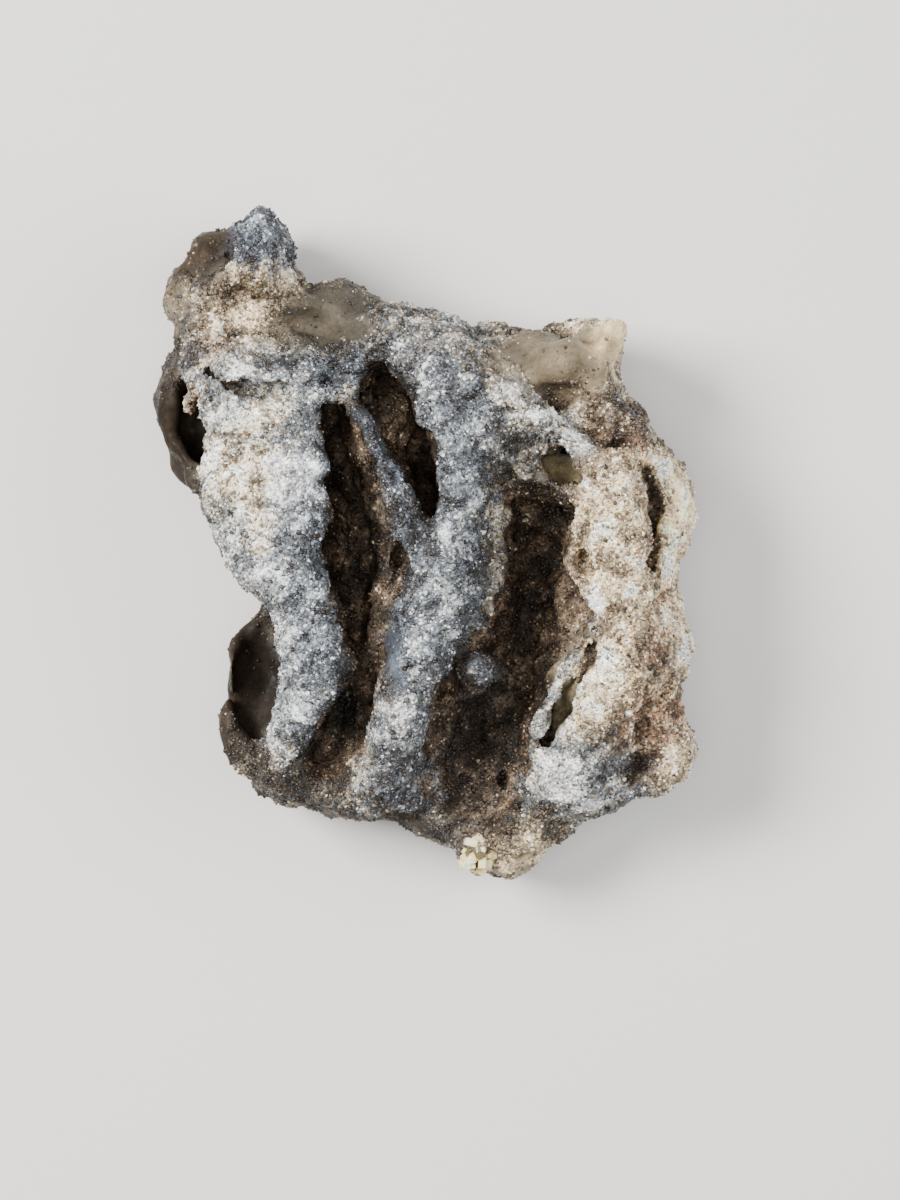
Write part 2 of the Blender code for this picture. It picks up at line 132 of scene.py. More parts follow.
world = bpy.data.worlds.new("studio")
world.use_nodes = True
world.node_tree.nodes["Background"].inputs["Color"].default_value = (0.84, 0.86, 0.88, 1.0)
world.node_tree.nodes["Background"].inputs["Strength"].default_value = 0.27
bpy.context.scene.world = world

# %% [markdown]
# ## The fused body
# The solid has facets a millimetre wide. A copy of it is merged and smoothed with one subdivision.
# The thin crests that the facets are too coarse for are laid along its ridges as rows of beads,
# and a voxel remesh melts all of it into one skin, which is close to what the lightning did.

# %% Copy the solid
SKIN_VOXEL = 0.41


def finished(piece):
    """The shape that the modifiers make becomes the piece's own mesh."""
    bpy.context.view_layer.update()
    evaluated = piece.evaluated_get(bpy.context.evaluated_depsgraph_get())
    mesh = bpy.data.meshes.new_from_object(evaluated)
    piece.modifiers.clear()
    piece.data = mesh
    return piece


def remeshed(piece, voxel):
    """The piece as one closed skin, with a vertex every `voxel` millimetres."""
    melt = piece.modifiers.new("melt", "REMESH")
    melt.mode = "VOXEL"
    melt.voxel_size = voxel * MM
    return finished(piece)


bm = bmesh.new()
bm.from_mesh(solid.data)
bmesh.ops.remove_doubles(bm, verts=bm.verts, dist=0.001 * MM)
body = new_piece("fused_body", bm)
soft = body.modifiers.new("soft", "SUBSURF")
soft.levels = 1
soft.render_levels = 1
finished(body)
print("smoothed copy:", len(body.data.polygons), "faces")

# %% [markdown]
# A bead is an ellipsoid, and a row of beads is the simplest wavy tube there is: its route is a
# smooth curve through a few stations, and each station has its own width. The same rows make
# what is added, as crests, and what is taken away, as slits.

# %% Beads along a route
SWELL = 0.16    # how much a bead's width strays from its route's


def smooth_route(stations, step):
    """Rows about `step` apart on a Catmull-Rom curve through the stations."""
    rows = np.array(stations, float)
    ends = np.vstack([2 * rows[0] - rows[1], rows, 2 * rows[-1] - rows[-2]])
    route = []
    for a, b, c, d in zip(ends, ends[1:], ends[2:], ends[3:]):
        count = max(2, int(np.linalg.norm((c - b)[:3]) / step))
        for t in np.arange(count) / count:
            route.append(
                0.5 * (2 * b + (c - a) * t + (2 * a - 5 * b + 4 * c - d) * t**2
                       + (3 * b - a - 3 * c + d) * t**3)
            )
    return route + [rows[-1]]


def add_lobe(bm, x, y, z, half_x, half_y, half_z):
    """An ellipsoid, in millimetres."""
    place = Matrix.Translation(Vector((x, y, z)) * MM)
    size = Matrix.Diagonal((half_x * MM, half_y * MM, half_z * MM, 1.0))
    bmesh.ops.create_icosphere(bm, subdivisions=2, radius=1.0, matrix=place @ size)


def add_beads(bm, stations, step, lumps):
    """Ellipsoids `step` apart. A station is x, y, z, half width, half height."""
    for x, y, z, half_width, half_height in smooth_route(stations, step):
        swell = 1 + lumps.uniform(-SWELL, SWELL)
        add_lobe(bm, x, y, z, half_width * swell, half_width * swell, half_height)


# %% [markdown]
# Crests and knobs. Where a bore's wall is broken, only its thin edge is left standing, like the
# wall between the left valley and the long slot. These edges catch the light, and they carry
# much of the likeness. Knobs are single ellipsoids: drops of glass on the walls, and the melt that
# closes the floor of a window or a slit.

# %% Add the crests
CREST_STEP = 0.35
CRESTS = {
    # stations: x, y, z, half width, half height
    "left valley's right wall": (
        (-7.0, 13.2, 12.0, 1.2, 5.0), (-5.8, 9.2, 12.4, 1.3, 5.6), (-4.2, 4.2, 12.8, 1.4, 5.8),
        (-3.2, 0.8, 12.8, 1.4, 5.8), (-3.4, -3.3, 12.6, 1.4, 5.8), (-3.8, -7.1, 12.4, 1.4, 5.6),
        (-5.4, -11.4, 12.2, 1.3, 5.0), (-6.2, -16.0, 11.8, 1.3, 4.6), (-7.4, -20.6, 11.4, 1.3, 4.0),
    ),
    "middle ridge's right wall": (
        (6.0, 6.0, 14.4, 1.5, 5.6), (6.2, 2.0, 14.2, 1.7, 6.0), (6.2, -2.5, 14.0, 1.7, 6.0),
        (5.2, -6.5, 13.6, 1.7, 6.0), (3.8, -9.4, 13.0, 1.5, 5.0),
    ),
    "lower edge of the arch": (
        (-12.4, 14.2, 21.8, 0.8, 1.4), (-10.4, 13.4, 21.4, 0.8, 1.5), (-8.2, 13.5, 20.8, 0.8, 1.5),
        (-6.6, 14.2, 20.4, 0.7, 1.4),
    ),
    "wall beside the long slot": (
        (-7.0, 13.6, 20.0, 0.7, 1.8), (-5.6, 11.2, 21.6, 0.55, 2.0), (-4.5, 8.6, 22.6, 0.5, 2.2),
        (-3.3, 5.0, 23.0, 0.55, 2.2), (-2.4, 2.2, 23.8, 0.7, 1.8), (-1.4, -0.4, 24.8, 0.8, 1.4),
    ),
    "rim of the right ridge": (
        (14.6, 4.2, 20.4, 0.5, 1.6), (13.9, 1.4, 20.6, 0.45, 2.2), (13.6, -1.6, 20.4, 0.45, 2.2),
        (14.6, -4.2, 20.6, 0.5, 2.0), (16.2, -6.2, 21.6, 0.6, 1.6),
    ),
    "rim beside the lower slit": (
        (15.0, -9.0, 21.8, 0.5, 1.4), (13.4, -11.4, 21.8, 0.5, 1.8), (11.8, -14.2, 20.6, 0.55, 2.2),
        (10.6, -16.8, 19.4, 0.55, 2.0), (9.8, -19.4, 17.6, 0.6, 1.8),
    ),
    "glass under the lower slit": (
        (15.6, -8.6, 15.2, 1.6, 2.2), (14.2, -11.6, 15.2, 1.9, 2.2), (12.8, -14.2, 14.8, 1.9, 2.2),
        (11.6, -17.0, 13.8, 1.8, 2.2), (10.8, -19.6, 13.0, 1.5, 2.2),
    ),
    "diagonal ridge": (
        (5.4, 13.4, 21.8, 0.9, 1.2), (8.0, 12.8, 22.2, 0.7, 1.4), (10.6, 11.0, 22.2, 0.6, 1.4),
        (12.8, 9.0, 22.0, 0.6, 1.4), (14.6, 7.6, 22.2, 0.7, 1.2),
    ),
    "lip under the oval window": (
        (10.6, 5.8, 18.8, 0.5, 1.2), (12.4, 4.8, 19.4, 0.5, 1.3), (14.4, 4.4, 20.6, 0.5, 1.2),
    ),
    "edge over the right groove": (
        (20.0, 5.8, 20.8, 0.6, 1.4), (20.2, 2.6, 20.8, 0.6, 1.6), (20.0, -0.6, 20.6, 0.5, 1.4),
    ),
    "ledge under the cup": (
        (-21.2, 17.6, 18.8, 0.7, 1.2), (-19.2, 16.0, 21.0, 0.8, 1.2), (-16.8, 15.4, 22.6, 0.8, 1.0),
        (-13.6, 15.0, 22.6, 0.8, 1.0), (-10.8, 15.6, 21.6, 0.8, 1.0),
    ),
    "rim of the glassy basin": (
        (-11.2, 17.6, 19.8, 0.6, 1.4), (-8.4, 17.2, 20.4, 0.55, 1.4), (-5.2, 17.8, 20.8, 0.6, 1.4),
        (-2.6, 20.0, 20.0, 0.7, 1.6),
    ),
    "edge of the pinnacle": (
        (-17.2, 24.0, 19.6, 0.7, 1.4), (-17.0, 26.4, 20.4, 0.6, 1.6), (-16.2, 28.8, 20.0, 0.6, 1.6),
    ),
}
KNOBS = {
    # x, y, z, half width, half length, half height
    "slope at the head of the right valley": (8.6, 9.4, 15.8, 3.8, 5.2, 5.2),
    "foot of that slope": (10.2, 6.0, 14.6, 3.8, 2.1, 5.0),
    "floor of the oval window": (12.9, 6.5, 14.4, 2.2, 1.8, 3.0),
    "floor of the glassy basin": (-8.6, 20.8, 12.0, 5.4, 3.8, 3.6),
    "plate on the right ridge": (17.9, 0.6, 17.4, 2.7, 6.0, 4.3),
    "melt inside the long slot": (-3.4, 11.4, 13.0, 2.2, 4.2, 3.4),
    "shoulder behind the knob": (3.4, -11.2, 14.8, 2.4, 3.2, 4.4),
    "knob in the right valley": (4.7, -11.9, 18.4, 2.1, 2.1, 2.6),
    "smaller knob below it": (3.4, -13.4, 16.4, 1.0, 1.1, 2.2),
    "tip of the pinnacle": (-15.2, 29.0, 20.4, 1.2, 1.6, 1.6),
    "corner of the plateau": (17.0, 19.2, 18.4, 1.1, 1.2, 1.6),
    "tan flange in the upper window": (-21.7, 13.3, 15.4, 1.0, 1.6, 1.2),
    "seat of the crystals": (4.9, -28.6, 10.6, 1.5, 1.6, 2.4),
    "spur on the right edge": (24.2, -10.1, 9.6, 0.9, 0.35, 0.4),
    "nub at the lower left corner": (-16.4, -20.6, 13.2, 1.2, 1.1, 1.4),
}

lumps = random.Random(5)
bm = bmesh.new()
bm.from_mesh(body.data)
for stations in CRESTS.values():
    add_beads(bm, stations, CREST_STEP, lumps)
for knob in KNOBS.values():
    add_lobe(bm, *knob)
bm.to_mesh(body.data)
bm.free()
remeshed(body, SKIN_VOXEL)
print("with crests:", len(body.data.polygons), "faces")

# %% [markdown]
# Cracks and pits. Slits, grooves and gaps are where two walls of glass never quite met. They are
# rows of beads again, taken away with a boolean. The round holes are gas bubbles that burst at
# the surface, so a ray from above finds the height of each.

# %% Cut the slits and pits
SLIT_STEP = 0.25
SLIT_VOXEL = 0.22
SLITS = {
    # stations: x, y, z, half width, half height
    "upper slit": (
        (14.9, 2.4, 20.0, 0.30, 4.5), (14.7, 0.6, 20.0, 0.42, 5.0), (14.5, -1.6, 20.0, 0.42, 5.0),
        (14.4, -3.2, 20.0, 0.28, 4.0),
    ),
    "lower slit": (
        (15.6, -9.2, 21.0, 0.40, 4.6), (14.7, -11.0, 21.0, 0.70, 4.8), (13.3, -13.6, 20.2, 0.90, 4.8),
        (12.2, -16.2, 19.2, 0.80, 4.6), (11.1, -18.6, 18.0, 0.40, 4.0),
    ),
    "oval window": (
        (11.0, 7.5, 18.6, 0.8, 3.2), (12.8, 6.6, 18.2, 1.35, 4.0), (14.2, 5.7, 18.6, 0.9, 3.2),
    ),
    "groove behind the right edge": (
        (20.0, 7.2, 19.4, 0.6, 3.4), (20.9, 4.4, 18.8, 0.8, 3.6), (21.2, 1.4, 18.6, 0.8, 3.6),
        (20.9, -1.2, 18.8, 0.6, 3.4), (20.0, -3.2, 19.6, 0.4, 3.0),
    ),
    "gap behind the pinnacle": (
        (-18.2, 29.6, 16.5, 0.4, 4.0), (-18.0, 27.2, 16.5, 0.6, 4.4), (-18.3, 25.0, 17.0, 0.5, 3.0),
    ),
    "gap between the left knobs": (
        (-24.8, 25.4, 12.0, 0.35, 5.0), (-22.6, 25.1, 12.0, 0.55, 5.0), (-20.8, 24.5, 14.0, 0.35, 3.0),
    ),
    "notch under the ledge": (
        (-20.4, 16.2, 19.8, 0.5, 1.2), (-18.4, 14.9, 21.4, 0.7, 1.6), (-16.4, 14.2, 22.2, 0.95, 2.2),
        (-14.4, 13.8, 22.8, 0.7, 1.6), (-12.4, 13.9, 22.6, 0.45, 1.2),
    ),
}
PITS = {
    # x, y, half width, half length, depth
    "bubble low on the left ridge": (-10.7, -8.7, 0.55, 0.60, 2.2),
    "brown pit on the left sheet": (-16.1, 1.7, 0.95, 0.65, 1.3),
    "pit beside the slot": (3.9, 13.1, 0.95, 0.60, 2.4),
    "small pit above it": (1.6, 19.4, 0.60, 0.50, 1.4),
    "pit on the arch": (-0.4, 17.0, 0.50, 0.45, 1.2),
    "twin pit in the right valley, left": (8.9, -3.1, 0.60, 0.95, 2.0),
    "twin pit in the right valley, right": (10.4, -3.9, 0.85, 1.05, 2.0),
    "lower pit in the right valley": (9.2, -6.6, 0.50, 0.50, 1.4),
    "pit at the valley's foot": (7.4, -21.9, 0.70, 0.95, 2.4),
    "pit in the left edge": (-21.7, 21.0, 0.95, 1.30, 2.4),
    "bubble on the pinnacle": (-14.6, 25.3, 0.45, 0.45, 1.4),
    "crystal pocket": (17.8, 8.6, 1.50, 0.90, 1.3),
    "small pocket above it": (15.2, 12.0, 0.80, 0.60, 1.2),
    "pit low on the right": (19.2, -18.3, 0.60, 0.50, 1.2),
    "rust pit beside the groove": (18.9, -2.6, 0.45, 0.55, 1.0),
}

bm = bmesh.new()
for stations in SLITS.values():
    add_beads(bm, stations, SLIT_STEP, lumps)
tree = BVHTree.FromPolygons(
    [v.co for v in body.data.vertices], [tuple(p.vertices) for p in body.data.polygons]
)
for x, y, half_width, half_length, depth in PITS.values():
    surface = tree.ray_cast(Vector((x * MM, y * MM, 0.1)), Vector((0, 0, -1)))[0].z / MM
    add_lobe(bm, x, y, surface, half_width, half_length, depth)
slits = remeshed(new_piece("slits", bm), SLIT_VOXEL)
cutting = body.modifiers.new("cut", "BOOLEAN")
cutting.object = slits
cutting.operation = "DIFFERENCE"
cutting.solver = "EXACT"
finished(body)
bpy.data.objects.remove(slits)
remeshed(body, SKIN_VOXEL)
print("skin:", 2 * len(body.data.polygons), "triangles")

# %% [markdown]
# ## What each spot of the skin is
# The skin is not the same all over. Its ridges are pale, its valleys are brown from iron staining
# and painted shade, and some patches are bare glass. Each of these is a field: one number for every
# vertex, made from spots in millimetres, with edges that noise breaks up. The mesh is read and
# written with foreach_get and foreach_set, which handle a hundred thousand points at once.

# %% Fields on the skin
GLASSY = (
    # x, y, z, half width, half length, half height of the spot, strength
    (12.4, 17.4, 18.0, 6.4, 4.0, 7.0, 1.0),      # the waxy plateau, upper right
    (-8.6, 20.4, 15.0, 4.6, 3.4, 7.0, 1.0),      # the basin, upper left
    (17.2, 18.8, 14.0, 2.4, 3.0, 9.0, 0.9),      # the plateau's corner
    (12.8, 6.4, 15.0, 3.0, 2.2, 5.0, 0.9),       # lining of the oval window
    (-20.4, 27.0, 12.0, 3.2, 3.0, 8.0, 0.9),     # knob behind the pinnacle
    (-24.0, 22.4, 10.0, 3.0, 3.2, 8.0, 0.8),     # far left lobe
    (-23.0, 10.0, 8.5, 4.0, 7.4, 6.0, 1.0),      # edge and inside of the upper window
    (-17.6, -13.4, 7.5, 5.0, 9.0, 5.5, 1.0),     # edge and inside of the lower window
    (13.4, -14.0, 16.0, 1.6, 6.4, 5.0, 0.8),     # lining of the lower slit
    (-3.0, -10.4, 22.0, 0.9, 3.6, 4.0, 0.8),     # blue streak on the middle ridge
    (-5.0, 9.0, 21.0, 1.2, 6.0, 3.0, 0.6),       # wall beside the long slot
    (24.2, 2.0, 13.0, 2.4, 6.0, 7.0, 0.6),       # outer lobe of the right edge
    (-19.6, -2.0, 14.0, 2.0, 4.6, 7.0, 0.5),     # outer edge of the left sheet
    (9.0, -28.8, 9.0, 3.4, 2.6, 5.0, 0.6),       # the lower tip
    (-5.0, -25.6, 7.0, 12.0, 2.0, 5.0, 0.6),     # lower rim
)


WANDER_SIZE = 2.2     # the swirls that break up the spots' edges
GLASS_WANDER = 1.1    # how far they shift the edge of a glassy patch


def read(mesh, what, width=3):
    """One row of numbers for each vertex of the mesh."""
    values = np.empty(len(mesh.vertices) * width, np.float32)
    if what == "normal":
        mesh.vertex_normals.foreach_get("vector", values)
    else:
        mesh.vertices.foreach_get(what, values)
    return values.reshape(-1, width).astype(float)


def swirl(points, size, seed):
    """Smooth noise from -1 to 1, with swirls of `size` millimetres."""
    shift = Vector((seed * 17.3, seed * 5.9, seed * 11.7))
    return np.array([noise.noise(Vector(p) / size + shift) for p in points])


def near(points, spots):
    """0 to 1: how far inside the nearest spot each point is. A spot's edge is soft."""
    best = np.zeros(len(points))
    for x, y, z, half_x, half_y, half_z, strength in spots:
        away = np.linalg.norm((points - (x, y, z)) / (half_x, half_y, half_z), axis=1)
        best = np.maximum(best, strength * np.clip((1.25 - away) / 0.5, 0, 1))
    return best


spots_at = read(body.data, "co") / MM
wander = np.column_stack([swirl(spots_at, WANDER_SIZE, seed) for seed in (1, 2, 3)])
glassy = near(spots_at + GLASS_WANDER * wander, GLASSY)
print("glassy share of the skin:", round(float(glassy.mean()), 3))

# %% [markdown]
# Lumps. Fused sand is lumpy at every scale: bulges of a few millimetres where the melt swelled,
# knots of about one millimetre, crumbs, and pinholes where fine bubbles burst. Each scale moves
# the vertices along their normals. The glassy patches flowed while they were hot, so they stay
# nearly smooth, and the few points that the chunk lies on aren't moved at all.

# %% Press in the lumps
LUMPS = (
    # name, size, how far they stand out, seed, and whether glassy patches are spared
    ("bulges", 2.9, 0.90, 4, False),
    ("lumps", 1.3, 0.46, 5, True),
    ("crumbs", 0.6, 0.14, 6, True),
)
KNOT_SIZE, KNOT_HEIGHT, KNOT_MEAN, KNOT_WANDER = 1.3, 0.30, 0.55, 0.4
PINHOLE_SPACING, PINHOLE_DEPTH, PINHOLE_EDGE = 1.7, 0.35, 0.80
GLASS_CALM = 0.85
RESTING_HEIGHT = 1.2    # the lumps grow to their full height over this much of the underside


def knots(points, size):
    """1 at the middle of each knot, 0 between knots of `size` millimetres."""
    return np.array([1 - noise.voronoi(Vector(p) / size)[0][0] for p in points])


sandy = 1 - GLASS_CALM * glassy
pinholes = np.clip((knots(spots_at, PINHOLE_SPACING) - PINHOLE_EDGE) / 0.08, 0, 1) * sandy
pinholes *= swirl(spots_at, 3.0, 7) > -0.04
rise = KNOT_HEIGHT * (knots(spots_at + KNOT_WANDER * wander, KNOT_SIZE) - KNOT_MEAN) * sandy
rise -= PINHOLE_DEPTH * pinholes
for _, size, height, seed, spared in LUMPS:
    rise += height * swirl(spots_at, size, seed) * (sandy if spared else 1)
resting = np.clip((spots_at[:, 2] - 0.1) / RESTING_HEIGHT, 0, 1)
moved = spots_at + read(body.data, "normal") * (rise * resting)[:, None]
moved[:, 2] = np.maximum(moved[:, 2], 0.0)
body.data.vertices.foreach_set("co", (moved * MM).astype(np.float32).ravel())
body.data.update()
print("lumps, mm:", round(float(rise.min()), 2), "to", round(float(rise.max()), 2))

# %% [markdown]
# Hollows. Rays go out from every vertex over the half-space that it faces. The share of them
# that hit the body again within 14 millimetres says how sheltered the spot is. Water and iron
# stains gather there, and shade falls there, so this one field drives the dark brown of the
# valleys and bores: partly iron staining, partly painted shade.

# %% How sheltered each vertex is
REACH = 14 * MM
LIFT = 0.12 * MM    # a ray starts this far off the skin
LEAN = 1.02         # over 1, so that no ray starts into the skin
RAYS = 28


def smoothed(mesh, values, rounds):
    """Each value is averaged with its neighbours', over the mesh's edges."""
    pairs = np.empty(len(mesh.edges) * 2, np.int32)
    mesh.edges.foreach_get("vertices", pairs)
    a, b = pairs.reshape(-1, 2).T
    count = np.bincount(a, minlength=len(values)) + np.bincount(b, minlength=len(values))
    for _ in range(rounds):
        total = np.bincount(a, values[b], len(values)) + np.bincount(b, values[a], len(values))
        values = 0.4 * values + 0.6 * total / np.maximum(count, 1)
    return values


def sheltered(mesh):
    """0 in the open, 1 deep inside."""
    tree = BVHTree.FromPolygons(
        [v.co for v in mesh.vertices], [tuple(p.vertices) for p in mesh.polygons]
    )
    draws = np.random.default_rng(3)
    rays = draws.normal(size=(RAYS, 3))
    rays /= np.linalg.norm(rays, axis=1)[:, None]
    points = read(mesh, "co")
    normals = read(mesh, "normal")
    hits = np.zeros(len(points))
    for ray in rays:
        ways = ray + normals * LEAN
        ways /= np.linalg.norm(ways, axis=1)[:, None]
        for i, (point, normal, way) in enumerate(zip(points, normals, ways)):
            start = Vector(point + normal * LIFT)
            if tree.ray_cast(start, Vector(way), REACH)[0] is not None:
                hits[i] += 1
    return smoothed(mesh, hits / RAYS, 3)


shelter = sheltered(body.data)
print("shelter:", np.round(np.percentile(shelter, [5, 25, 50, 75, 95]), 2))

# %% [markdown]
# ## Colour zones
# The ridges' colours are zones too: a white crown on the left sheet, blue-grey along the middle
# ridge, cream and rust on the right one. A kind of sand has one colour, and each zone says where
# that kind lies and how strongly. What no zone claims is plain grey-tan sand. The sheltered spots
# then turn dark brown, partly iron staining and partly painted shade, and near-black and umber
# zones paint more shade into the deepest valleys and the windows. Patches of noise make the tone
# uneven at four sizes.

# %% Kinds of sand and their zones
SANDS = {
    "plain": (0.20, 0.185, 0.16),
    "white": (0.58, 0.575, 0.525),
    "cream": (0.95, 0.72, 0.41),
    "blue": (0.165, 0.188, 0.205),
    "steel": (0.050, 0.062, 0.082),
    "dark": (0.030, 0.030, 0.033),
    "tan": (0.175, 0.138, 0.088),
    "khaki": (0.056, 0.048, 0.035),
    "brown": (0.032, 0.022, 0.014),
    "rust": (0.19, 0.092, 0.052),
    "umber": (0.038, 0.025, 0.016),
    "olive": (0.27, 0.225, 0.135),
    # near-black: painted shade, for the deepest valley floors and the insides of the windows
    "painted_shade": (0.010, 0.007, 0.005),
}
ZONES = (
    # kind, x, y, half width, half length, strength, and for some the height that it stays under
    # left ridge
    ("white", -15.1, 9.6, 4.6, 7.0, 2.2), ("cream", -16.7, 6.3, 2.4, 3.0, 4.0),
    ("cream", -14.2, 11.4, 1.6, 1.4, 2.4), ("cream", -15.2, 0.8, 1.0, 1.6, 1.6),
    ("plain", -19.8, 3.0, 1.4, 6.4, 4.0), ("steel", -11.8, 3.0, 0.8, 1.6, 0.8),
    ("blue", -13.0, 10.6, 1.4, 1.6, 1.4), ("blue", -10.5, 6.8, 1.8, 8.4, 3.0),
    ("steel", -9.4, 5.0, 0.8, 8.0, 2.0), ("white", -17.4, 0.3, 2.4, 5.6, 0.8),
    ("blue", -18.4, -1.6, 1.5, 4.6, 3.0), ("blue", -12.0, -1.6, 2.6, 4.6, 2.6),
    ("blue", -10.2, -9.0, 3.0, 4.2, 2.4), ("white", -13.4, -8.0, 1.2, 3.0, 0.6),
    ("steel", -9.4, -10.2, 1.4, 2.4, 3.0), ("blue", -12.1, -16.4, 2.6, 4.6, 1.6),
    ("white", -14.2, -17.8, 0.9, 2.3, 0.7), ("steel", -8.8, -21.1, 1.9, 1.4, 1.0),
    ("khaki", -14.8, -22.2, 4.6, 3.2, 14.0), ("steel", -12.9, -10.6, 1.0, 1.4, 0.8),
    # arch, cup, pinnacle and basin
    ("blue", -9.3, 16.1, 5.6, 1.6, 1.4), ("steel", -8.6, 15.6, 4.6, 1.2, 2.4),
    ("steel", -6.0, 17.6, 1.4, 2.0, 1.2), ("cream", -16.2, 21.2, 4.0, 2.8, 1.0),
    ("khaki", -19.6, 22.0, 2.4, 4.0, 1.4), ("rust", -18.6, 17.9, 1.9, 1.0, 1.0),
    ("steel", -15.6, 29.0, 2.2, 3.0, 14.0), ("blue", -14.0, 27.4, 1.6, 2.6, 1.0),
    ("cream", -14.6, 24.2, 2.6, 1.4, 1.0), ("brown", -20.8, 27.4, 3.2, 2.8, 12.0),
    # The dark spot at -21.7, 21.0 is painted shade in the pit in the left edge.
    ("tan", -23.7, 22.9, 1.8, 2.4, 1.6), ("dark", -21.7, 21.0, 1.0, 1.2, 2.0),
    ("khaki", -8.8, 20.6, 4.6, 3.6, 12.0), ("plain", -4.0, 21.4, 3.0, 2.0, 1.6),
    # middle ridge
    ("plain", 1.0, 19.0, 6.4, 2.4, 2.4), ("steel", 4.6, 19.6, 2.4, 1.4, 1.2),
    ("steel", -2.8, 18.4, 1.6, 1.4, 3.0), ("steel", 2.5, 15.9, 1.4, 1.0, 3.0),
    ("steel", 5.4, 11.0, 1.0, 3.0, 1.6), ("blue", 2.8, 9.6, 3.5, 6.5, 2.4),
    ("blue", 1.4, -5.3, 3.7, 6.5, 2.4), ("white", 2.6, -4.4, 1.2, 4.6, 0.6),
    ("steel", -5.4, 14.0, 0.8, 2.0, 5.0), ("steel", -4.2, 9.6, 0.8, 2.6, 5.0),
    ("steel", -2.9, 4.9, 0.8, 2.6, 5.0), ("steel", -1.6, 0.9, 1.0, 1.9, 5.0),
    ("steel", -2.6, -9.6, 0.9, 3.4, 12.0), ("steel", -4.6, -16.4, 0.7, 2.2, 3.0),
    ("plain", -4.6, -9.0, 1.5, 4.6, 1.2), ("tan", -5.6, -18.3, 1.3, 3.7, 1.2),
    ("plain", -2.3, -19.2, 3.0, 4.6, 1.6), ("steel", -3.0, -20.4, 2.4, 3.6, 2.4),
    ("steel", -1.6, -23.2, 2.4, 1.6, 1.2), ("steel", -0.4, -19.4, 0.9, 4.0, 4.0),
    ("khaki", 5.9, -1.6, 1.3, 8.4, 3.4), ("steel", 4.6, -3.0, 0.8, 6.0, 1.2),
    ("brown", -7.4, 4.0, 1.6, 8.0, 3.0), ("brown", -6.4, -8.0, 1.4, 6.0, 2.0),
    # right valley and what frames it
    ("plain", 8.6, 9.8, 2.6, 4.0, 3.4), ("khaki", 8.8, 7.0, 3.0, 1.8, 2.6),
    # In the valleys the umber zones darken the floors, partly as iron staining and partly as painted
    # shade, and the near-black zones are painted shade.
    ("umber", 5.2, -17.6, 2.8, 6.4, 9.0), ("painted_shade", 5.6, -17.0, 2.6, 6.0, 4.0),
    ("painted_shade", -7.6, -14.0, 1.4, 5.0, 4.0), ("umber", -3.4, -0.6, 1.9, 4.6, 9.0),
    ("umber", -5.0, -8.0, 1.2, 4.4, 7.0), ("white", 8.4, 13.7, 1.7, 1.0, 3.0),
    ("white", 11.1, 11.5, 1.7, 1.1, 3.4), ("white", 13.7, 9.0, 1.7, 1.2, 3.4),
    ("rust", 13.7, -4.2, 1.2, 3.8, 1.2), ("khaki", 13.5, -0.6, 1.2, 6.0, 7.0),
    ("khaki", 13.2, -7.4, 1.4, 3.0, 5.0), ("blue", 4.9, -11.8, 1.6, 1.7, 3.0),
    ("steel", 4.9, -11.8, 1.7, 1.8, 1.6),
    # plateau and right ridge
    ("tan", 12.5, 17.2, 5.4, 3.8, 12.0), ("khaki", 9.4, 17.6, 2.4, 3.0, 5.0),
    ("cream", 17.2, 18.8, 1.6, 2.6, 6.0), ("brown", 16.4, 10.6, 3.0, 1.8, 3.0),
    ("dark", 18.6, 11.6, 1.6, 1.2, 2.0), ("rust", 18.4, 9.2, 2.6, 2.0, 2.6),
    ("cream", 18.2, -0.2, 2.8, 6.0, 9.0), ("cream", 24.0, 1.6, 2.2, 6.4, 8.0),
    ("rust", 20.2, 1.4, 0.8, 4.6, 5.0), ("rust", 18.2, 4.6, 1.4, 1.4, 5.0),
    ("rust", 16.6, -6.6, 0.8, 1.8, 7.0), ("cream", 18.6, -12.7, 3.7, 4.2, 3.4),
    ("rust", 20.6, -9.9, 1.8, 1.7, 14.0), ("rust", 22.4, -4.6, 1.2, 1.8, 8.0),
    ("rust", 21.0, -15.6, 2.3, 2.6, 16.0), ("rust", 18.8, 1.6, 1.0, 2.2, 3.0),
    ("cream", 23.6, -8.0, 1.6, 3.0, 1.6), ("white", 15.3, -6.2, 1.3, 1.9, 3.0),
    ("white", 13.3, -10.9, 1.1, 2.8, 3.0), ("white", 10.9, -15.5, 1.1, 2.8, 1.6),
    ("white", 13.5, -22.0, 3.5, 2.8, 2.6), ("dark", 18.0, -20.4, 2.8, 2.2, 8.0),
    ("cream", 23.4, -19.7, 1.7, 2.3, 3.0), ("khaki", 13.6, -26.4, 6.0, 1.6, 2.0),
    # lower edge and left windows
    ("tan", 8.8, -29.0, 2.8, 2.2, 2.2), ("cream", 9.2, -28.6, 2.6, 2.4, 1.6),
    # In the windows the brown zones are the brown glass made darker as painted shade, and the
    # near-black zones under their ceiling heights are painted shade inside the bores.
    ("khaki", -3.0, -26.4, 9.4, 1.8, 4.0), ("brown", -23.4, 10.0, 3.4, 7.6, 9.0, 15.0),
    ("brown", -19.0, -12.6, 4.4, 9.6, 9.0, 14.0), ("painted_shade", -21.4, 10.4, 2.0, 4.4, 30.0, 12.0),
    ("painted_shade", -15.8, -13.0, 2.6, 7.4, 30.0, 13.0), ("olive", 13.3, -13.0, 1.6, 4.4, 40.0, 18.0),
    ("painted_shade", -23.4, 10.0, 2.4, 6.0, 10.0, 13.0), ("khaki", -18.0, -21.0, 4.0, 3.6, 5.0, 15.0),
    ("tan", -21.6, 13.2, 0.9, 1.5, 6.0), ("olive", 13.4, 6.3, 1.8, 1.6, 40.0, 19.0),
)


